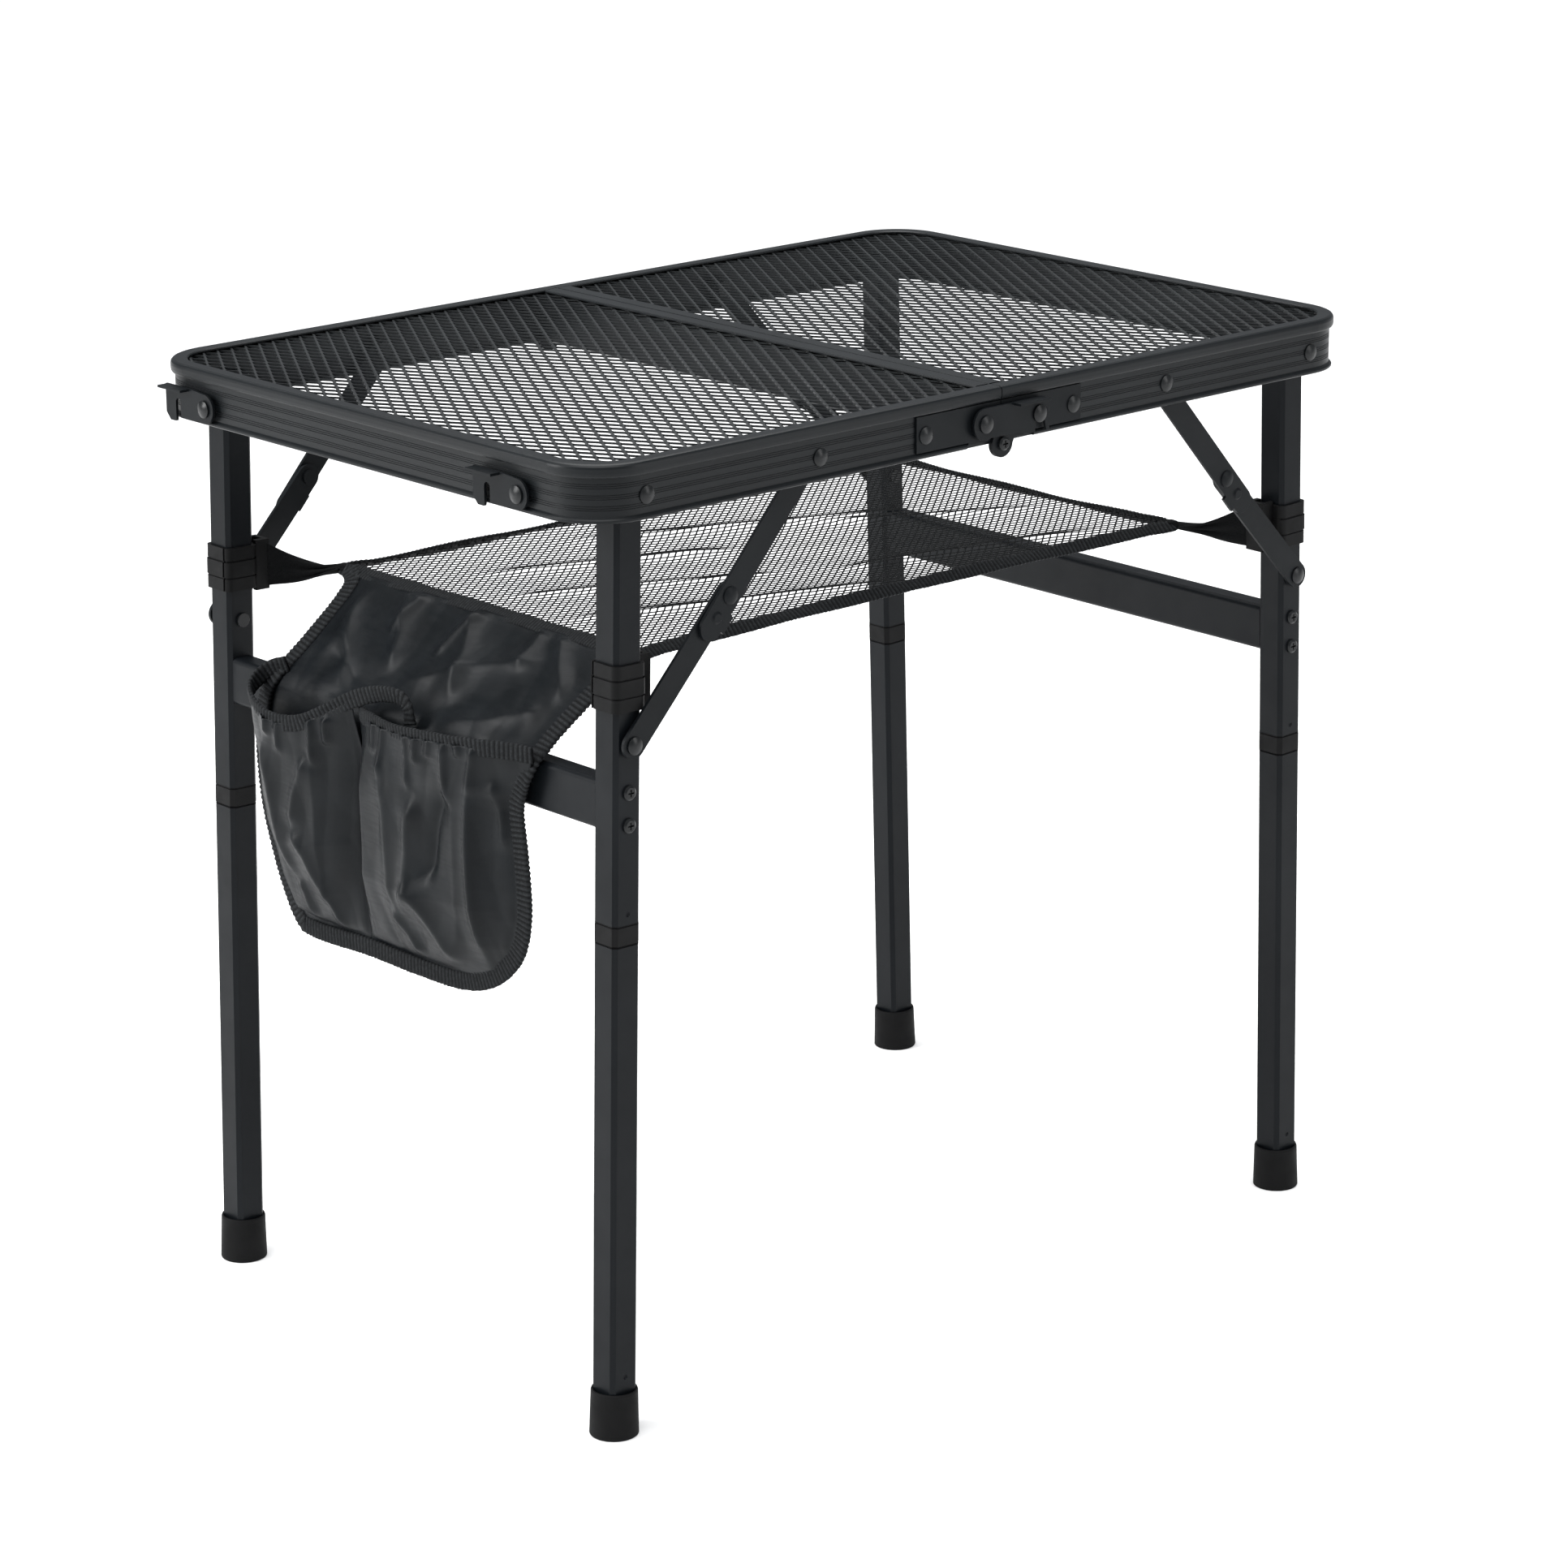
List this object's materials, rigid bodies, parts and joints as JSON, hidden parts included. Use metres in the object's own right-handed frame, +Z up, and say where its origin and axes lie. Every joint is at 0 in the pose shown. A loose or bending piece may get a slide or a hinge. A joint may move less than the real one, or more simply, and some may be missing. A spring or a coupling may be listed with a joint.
{
  "type": "folding side table",
  "caption": "Black folding camp side table with an expanded-mesh top in hinged halves, folding leg frames with pull-off lower legs, a hung net shelf and an organiser with open pockets.",
  "frame": {"origin": "on the floor, under the middle of the table", "axes": "+Z up; X along the long side of the top, with the organiser at the -X end; -Y is the long side with the front hook"},
  "size_m": [0.6127, 0.4182, 0.56],
  "materials": {
    "frame": "satin",
    "steel": "satin",
    "mesh": "satin",
    "rivet": "satin",
    "plastic": "matte",
    "rubber": "matte",
    "cloth": "matte",
    "net": "matte"
  },
  "bodies": {
    "left_half": {"left_frame": "frame", "left_bar": "frame", "left_mesh": "mesh", "left_rivets": "rivet", "left_bushes": "plastic", "front_plate_left": "steel", "back_plate_left": "steel", "hinge_screws": "rivet", "shelf_net": "net", "shelf_binding": "cloth", "shelf_straps": "cloth", "organiser_sheet": "cloth", "organiser_pockets": "cloth", "organiser_binding": "cloth"},
    "right_half": {"right_frame": "frame", "right_bar": "frame", "right_mesh": "mesh", "right_rivets": "rivet", "right_bushes": "plastic", "front_plate_right": "steel", "back_plate_right": "steel"},
    "front_hook": {"front_hook": "steel"},
    "back_hook": {"back_hook": "steel"},
    "front_latch": {"front_latch": "steel"},
    "back_latch": {"back_latch": "steel"},
    "left_legs": {"left_front_leg": "frame", "left_back_leg": "frame", "left_rail": "frame", "left_rail_screws": "rivet", "left_leg_rivets": "rivet", "left_front_insert": "plastic", "left_back_insert": "plastic", "left_front_clip": "plastic", "left_back_clip": "plastic"},
    "left_front_lower_leg": {"left_front_lower": "frame", "left_front_foot": "rubber"},
    "left_front_brace_top": {"left_front_strut_top": "steel"},
    "left_front_brace_low": {"left_front_strut_low": "steel"},
    "left_back_lower_leg": {"left_back_lower": "frame", "left_back_foot": "rubber"},
    "left_back_brace_top": {"left_back_strut_top": "steel"},
    "left_back_brace_low": {"left_back_strut_low": "steel"},
    "right_legs": {"right_front_leg": "frame", "right_back_leg": "frame", "right_rail": "frame", "right_rail_screws": "rivet", "right_leg_rivets": "rivet", "right_front_insert": "plastic", "right_back_insert": "plastic", "right_front_clip": "plastic", "right_back_clip": "plastic"},
    "right_front_lower_leg": {"right_front_lower": "frame", "right_front_foot": "rubber"},
    "right_front_brace_top": {"right_front_strut_top": "steel"},
    "right_front_brace_low": {"right_front_strut_low": "steel"},
    "right_back_lower_leg": {"right_back_lower": "frame", "right_back_foot": "rubber"},
    "right_back_brace_top": {"right_back_strut_top": "steel"},
    "right_back_brace_low": {"right_back_strut_low": "steel"}
  },
  "joints": [
    {"name": "table_fold", "type": "hinge", "parent": "left_half", "child": "right_half", "pos_m": [0, 0, 0.5276], "axis": [0, 1, 0], "range_deg": [0, 15]},
    {"name": "left_legs_fold", "type": "hinge", "parent": "left_half", "child": "left_legs", "pos_m": [-0.26, 0, 0.541], "axis": [0, 1, 0], "range_deg": [-50, 0], "deforming": ["shelf_net", "shelf_binding", "shelf_straps", "organiser_sheet", "organiser_pockets", "organiser_binding"]},
    {"name": "left_front_brace_top_turn", "type": "hinge", "parent": "left_half", "child": "left_front_brace_top", "pos_m": [-0.136, -0.19, 0.541], "axis": [0, 1, 0], "range_deg": [0, 34.47]},
    {"name": "left_front_brace_low_turn", "type": "hinge", "parent": "left_legs", "child": "left_front_brace_low", "pos_m": [-0.26364, -0.19, 0.40185], "axis": [0, 1, 0], "range_deg": [-37.45, 0]},
    {"name": "left_front_lower_leg_pull", "type": "slide", "parent": "left_legs", "child": "left_front_lower_leg", "axis": [0.0262, 0, 0.9997], "range_m": [-0.043, 0]},
    {"name": "left_back_brace_top_turn", "type": "hinge", "parent": "left_half", "child": "left_back_brace_top", "pos_m": [-0.136, 0.19, 0.541], "axis": [0, 1, 0], "range_deg": [0, 34.47]},
    {"name": "left_back_brace_low_turn", "type": "hinge", "parent": "left_legs", "child": "left_back_brace_low", "pos_m": [-0.26364, 0.19, 0.40185], "axis": [0, 1, 0], "range_deg": [-37.45, 0]},
    {"name": "left_back_lower_leg_pull", "type": "slide", "parent": "left_legs", "child": "left_back_lower_leg", "axis": [0.0262, 0, 0.9997], "range_m": [-0.043, 0]},
    {"name": "right_legs_fold", "type": "hinge", "parent": "right_half", "child": "right_legs", "pos_m": [0.26, 0, 0.541], "axis": [0, 1, 0], "range_deg": [0, 50]},
    {"name": "right_front_brace_top_turn", "type": "hinge", "parent": "right_half", "child": "right_front_brace_top", "pos_m": [0.136, -0.19, 0.541], "axis": [0, 1, 0], "range_deg": [-34.47, 0]},
    {"name": "right_front_brace_low_turn", "type": "hinge", "parent": "right_legs", "child": "right_front_brace_low", "pos_m": [0.26364, -0.19, 0.40185], "axis": [0, 1, 0], "range_deg": [0, 37.45]},
    {"name": "right_front_lower_leg_pull", "type": "slide", "parent": "right_legs", "child": "right_front_lower_leg", "axis": [-0.0262, 0, 0.9997], "range_m": [-0.043, 0]},
    {"name": "right_back_brace_top_turn", "type": "hinge", "parent": "right_half", "child": "right_back_brace_top", "pos_m": [0.136, 0.19, 0.541], "axis": [0, 1, 0], "range_deg": [-34.47, 0]},
    {"name": "right_back_brace_low_turn", "type": "hinge", "parent": "right_legs", "child": "right_back_brace_low", "pos_m": [0.26364, 0.19, 0.40185], "axis": [0, 1, 0], "range_deg": [0, 37.45]},
    {"name": "right_back_lower_leg_pull", "type": "slide", "parent": "right_legs", "child": "right_back_lower_leg", "axis": [-0.0262, 0, 0.9997], "range_m": [-0.043, 0]},
    {"name": "front_hook_lift", "type": "hinge", "parent": "left_half", "child": "front_hook", "pos_m": [-0.015, -0.202, 0.541], "axis": [0, 1, 0], "range_deg": [-75, 0]},
    {"name": "front_latch_turn", "type": "hinge", "parent": "left_half", "child": "front_latch", "pos_m": [-0.3012, -0.141, 0.538], "axis": [1, 0, 0], "range_deg": [-90, 0]},
    {"name": "back_hook_lift", "type": "hinge", "parent": "left_half", "child": "back_hook", "pos_m": [-0.015, 0.202, 0.541], "axis": [0, 1, 0], "range_deg": [-75, 0]},
    {"name": "back_latch_turn", "type": "hinge", "parent": "left_half", "child": "back_latch", "pos_m": [-0.3012, 0.141, 0.538], "axis": [1, 0, 0], "range_deg": [-90, 0]}
  ],
  "couplings": [
    {"joint": "left_front_brace_top_turn", "follows": "left_legs_fold", "ratio": -0.6892},
    {"joint": "left_front_brace_low_turn", "follows": "left_legs_fold", "ratio": 0.7487},
    {"joint": "left_back_brace_top_turn", "follows": "left_legs_fold", "ratio": -0.6892},
    {"joint": "left_back_brace_low_turn", "follows": "left_legs_fold", "ratio": 0.7487},
    {"joint": "right_front_brace_top_turn", "follows": "right_legs_fold", "ratio": -0.6892},
    {"joint": "right_front_brace_low_turn", "follows": "right_legs_fold", "ratio": 0.7487},
    {"joint": "right_back_brace_top_turn", "follows": "right_legs_fold", "ratio": -0.6892},
    {"joint": "right_back_brace_low_turn", "follows": "right_legs_fold", "ratio": 0.7487}
  ]
}
